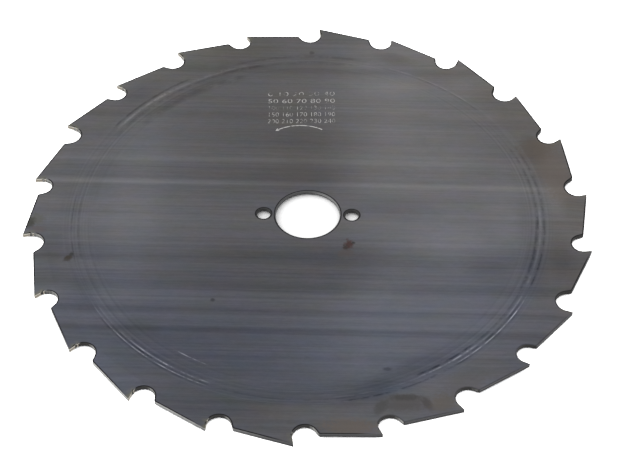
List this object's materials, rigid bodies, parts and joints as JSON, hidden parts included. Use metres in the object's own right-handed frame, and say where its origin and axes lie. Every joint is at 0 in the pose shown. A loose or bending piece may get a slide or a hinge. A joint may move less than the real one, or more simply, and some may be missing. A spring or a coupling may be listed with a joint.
{
  "type": "brush cutter blade",
  "caption": "Flat round steel blade with hooked, alternately set teeth, a central arbor bore and two drive pin holes beside it.",
  "frame": {"origin": "centre of the arbor bore, halfway through the sheet", "axes": "+Z along the bore's axis, out of the marked face; +X through the centre of one drive pin hole; the tooth tips point anticlockwise seen from +Z"},
  "size_m": [0.223, 0.225, 0.0032],
  "materials": {
    "blade_steel": "dull rolled sheet steel with fine streaks one way, light brown staining, bright ground tooth faces"
  },
  "bodies": {
    "root": {"blade": "blade_steel"}
  },
  "joints": []
}
